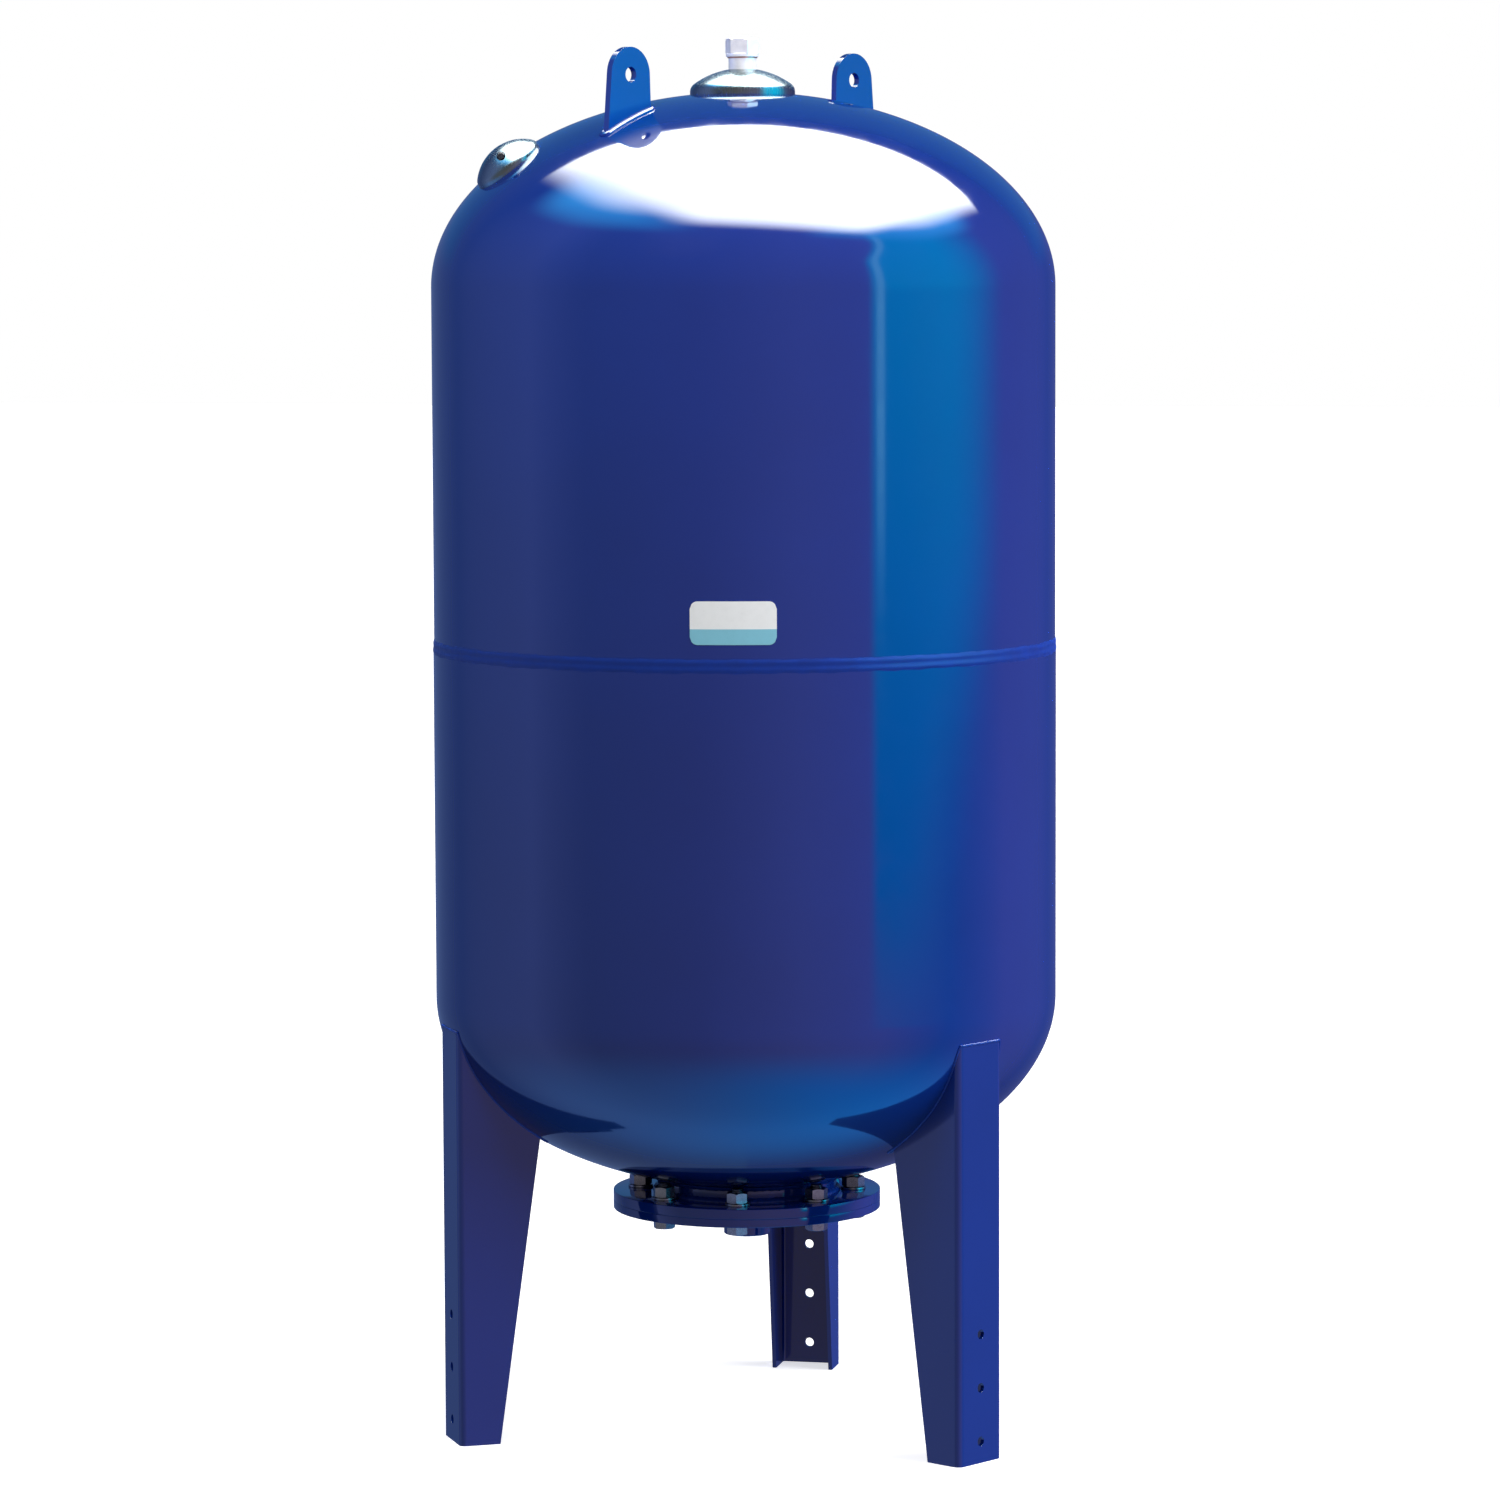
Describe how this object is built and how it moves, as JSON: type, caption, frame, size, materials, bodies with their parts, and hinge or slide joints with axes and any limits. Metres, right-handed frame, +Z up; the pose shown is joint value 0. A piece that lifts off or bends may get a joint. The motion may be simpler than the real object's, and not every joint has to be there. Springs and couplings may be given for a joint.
{
  "type": "expansion vessel",
  "caption": "Vertical bladder expansion vessel on three channel legs, with a flanged bottom neck, lifting lugs, an air valve and a plugged top nipple.",
  "frame": {"origin": "on the floor under the vessel's vertical axis, at the centre of its circular outline", "axes": "+Z up along the vessel's axis; +Y towards the rear leg; the front legs stand 60 degrees either side of -Y"},
  "size_m": [0.7576, 0.7576, 1.68],
  "materials": {
    "blue_paint": "deep gloss enamel",
    "zinc_plating": "bright zinc plating",
    "cover_zinc": "bright plated pressing",
    "bladder_rubber": "matt EPDM",
    "seal_rubber": "matt",
    "bright_steel": "polished",
    "valve_brass": "turned",
    "washer_copper": "annealed copper",
    "cap_plastic": "black moulding",
    "label_white": "plain printed film"
  },
  "bodies": {
    "root": {"bladder": "bladder_rubber", "bladder_disc_nut": "bright_steel", "bladder_top_disc": "bright_steel", "counterflange": "blue_paint", "flange_bolts": "zinc_plating", "flange_nuts": "zinc_plating", "flange_washers": "zinc_plating", "girth_weld": "blue_paint", "label_plate": "label_white", "leg_left": "blue_paint", "leg_rear": "blue_paint", "leg_right": "blue_paint", "leg_welds": "blue_paint", "lifting_lug_left": "blue_paint", "lifting_lug_right": "blue_paint", "lower_shell": "blue_paint", "lug_welds": "blue_paint", "neck_collar": "blue_paint", "neck_flange_ring": "blue_paint", "neck_welds": "blue_paint", "socket_weld": "blue_paint", "tie_gasket": "seal_rubber", "tie_nipple": "bright_steel", "tie_nut": "bright_steel", "top_boss": "blue_paint", "top_cover": "cover_zinc", "upper_shell": "blue_paint", "valve_body": "valve_brass", "valve_body_seal": "seal_rubber", "valve_boss": "blue_paint", "valve_cover": "cover_zinc", "valve_spring": "bright_steel", "water_connection": "blue_paint"},
    "plug_washer": {"top_plug_washer": "washer_copper"},
    "plug": {"top_plug": "bright_steel"},
    "valve_core": {"valve_pin": "valve_brass"},
    "cap_liner": {"valve_cap_seal": "seal_rubber"},
    "dust_cap": {"valve_cap": "cap_plastic"}
  },
  "joints": [
    {"name": "plug_lift", "type": "slide", "parent": "root", "child": "plug_washer", "axis": [0, 0, 1], "range_m": [0, 0.0127]},
    {"name": "plug_turn", "type": "hinge", "parent": "plug_washer", "child": "plug", "pos_m": [0, 0, 1.656], "axis": [0, 0, 1], "range_deg": [0, 2520]},
    {"name": "valve_pin_press", "type": "slide", "parent": "root", "child": "valve_core", "axis": [-0.2125, 0.9771, -0.0067], "range_m": [0, 0.0012], "stiffness_N_per_m": 600, "springref_m": -0.001, "deforming": ["valve_spring"]},
    {"name": "cap_slide", "type": "slide", "parent": "root", "child": "cap_liner", "axis": [0.2125, -0.9771, 0.0067], "range_m": [0, 0.00635]},
    {"name": "cap_turn", "type": "hinge", "parent": "cap_liner", "child": "dust_cap", "pos_m": [-0.25448, -0.17002, 1.53883], "axis": [0.2125, -0.9771, 0.0067], "range_deg": [0, 2880]}
  ],
  "couplings": [
    {"joint": "plug_turn", "follows": "plug_lift", "rad_per_m": 3463.7},
    {"joint": "cap_turn", "follows": "cap_slide", "rad_per_m": 7913.3}
  ]
}
